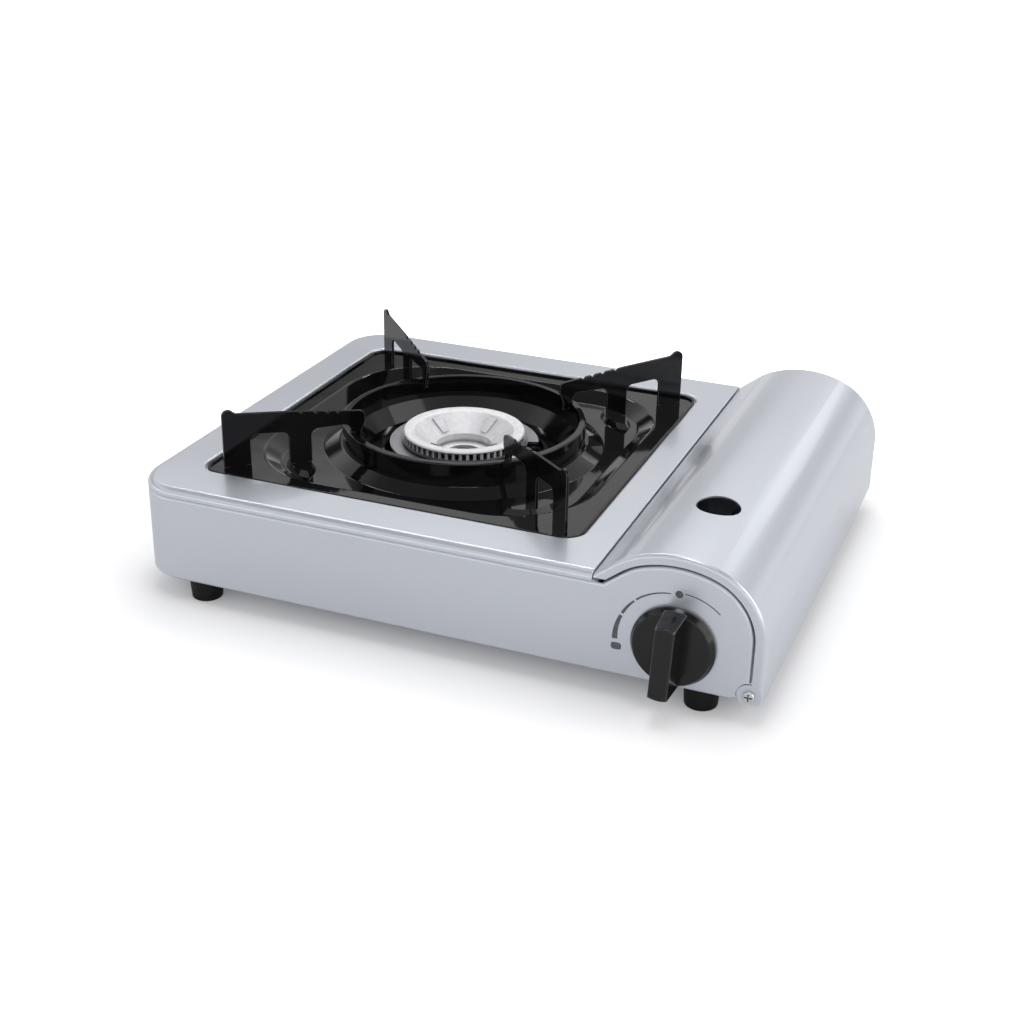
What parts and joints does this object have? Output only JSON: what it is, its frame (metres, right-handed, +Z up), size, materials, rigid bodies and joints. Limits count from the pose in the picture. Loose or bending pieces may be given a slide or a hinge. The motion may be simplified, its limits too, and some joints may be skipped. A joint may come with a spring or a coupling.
{
  "type": "butane cassette stove",
  "caption": "Flat portable stove with a round burner in a square black drip pan, four pot supports, a turning control knob and a hinged lid over the gas cartridge bay.",
  "frame": {"origin": "on the table, under the middle of the whole stove", "axes": "+X to the cartridge side on the right, +Y to the rear away from the knob, +Z up"},
  "size_m": [0.34, 0.2944, 0.0947],
  "materials": {
    "silver_paint": "satin light silver-blue paint",
    "black_enamel": "gloss black enamel",
    "cap_aluminium": "bright satin casting",
    "cast_aluminium": "matt casting",
    "zinc_sheet": "zinc-plated sheet",
    "zinc_screw": "bright zinc plate",
    "brass": "turned",
    "copper_pipe": "drawn copper tube",
    "black_rubber": "matt",
    "knob_plastic": "fine satin texture",
    "igniter_plastic": "smooth",
    "wire_sheath": "silicone sheath",
    "white_ceramic": "glazed",
    "ferrite": "dull"
  },
  "bodies": {
    "stove": {"lower_casing": "silver_paint", "top_plate": "silver_paint", "burner_cap": "cap_aluminium", "burner_base": "cast_aluminium", "mixing_tube": "zinc_sheet", "air_damper": "zinc_sheet", "gas_jet": "brass", "gas_pipe": "copper_pipe", "burner_bracket": "zinc_sheet", "burner_screws": "zinc_screw", "partition_wall": "zinc_sheet", "heat_plate": "zinc_sheet", "cartridge_rails": "zinc_sheet", "regulator_body": "cast_aluminium", "regulator_cover": "cast_aluminium", "cover_screws": "zinc_screw", "cartridge_socket": "brass", "socket_seal": "black_rubber", "magnet_ring": "ferrite", "magnet_holder": "zinc_sheet", "igniter_body": "igniter_plastic", "igniter_bracket": "zinc_sheet", "igniter_wire": "wire_sheath", "electrode_ceramic": "white_ceramic", "electrode_pin": "zinc_screw", "electrode_clip": "zinc_screw", "lid_hinge_screws": "zinc_screw", "lid_hinge_nuts": "zinc_screw", "foot_front_left": "black_rubber", "foot_rear_left": "black_rubber", "foot_front_right": "black_rubber", "foot_rear_right": "black_rubber", "foot_screws": "zinc_screw"},
    "lid": {"cartridge_lid": "silver_paint"},
    "knob": {"control_knob": "knob_plastic", "valve_spindle": "brass", "cam_finger": "zinc_sheet"},
    "pan": {"drip_pan": "black_enamel", "wind_ring": "black_enamel", "support_arm_rear_right": "black_enamel", "support_arm_rear_left": "black_enamel", "support_arm_front_left": "black_enamel", "support_arm_front_right": "black_enamel"},
    "plunger": {"igniter_plunger": "igniter_plastic"}
  },
  "joints": [
    {"name": "lid_hinge", "type": "hinge", "parent": "stove", "child": "lid", "pos_m": [0.164, 0.0094, 0.0159], "axis": [0, 1, 0], "range_deg": [0, 100]},
    {"name": "knob_turn", "type": "hinge", "parent": "stove", "child": "knob", "pos_m": [0.1266, -0.13, 0.0344], "axis": [0, -1, 0], "range_deg": [0, 100]},
    {"name": "pan_lift", "type": "slide", "parent": "stove", "child": "pan", "axis": [0, 0, 1], "range_m": [0, 0.04]},
    {"name": "plunger_press", "type": "slide", "parent": "stove", "child": "plunger", "axis": [1, 0, 0], "range_m": [0, 0.004], "stiffness_N_per_m": 300, "springref_m": -0.002}
  ]
}
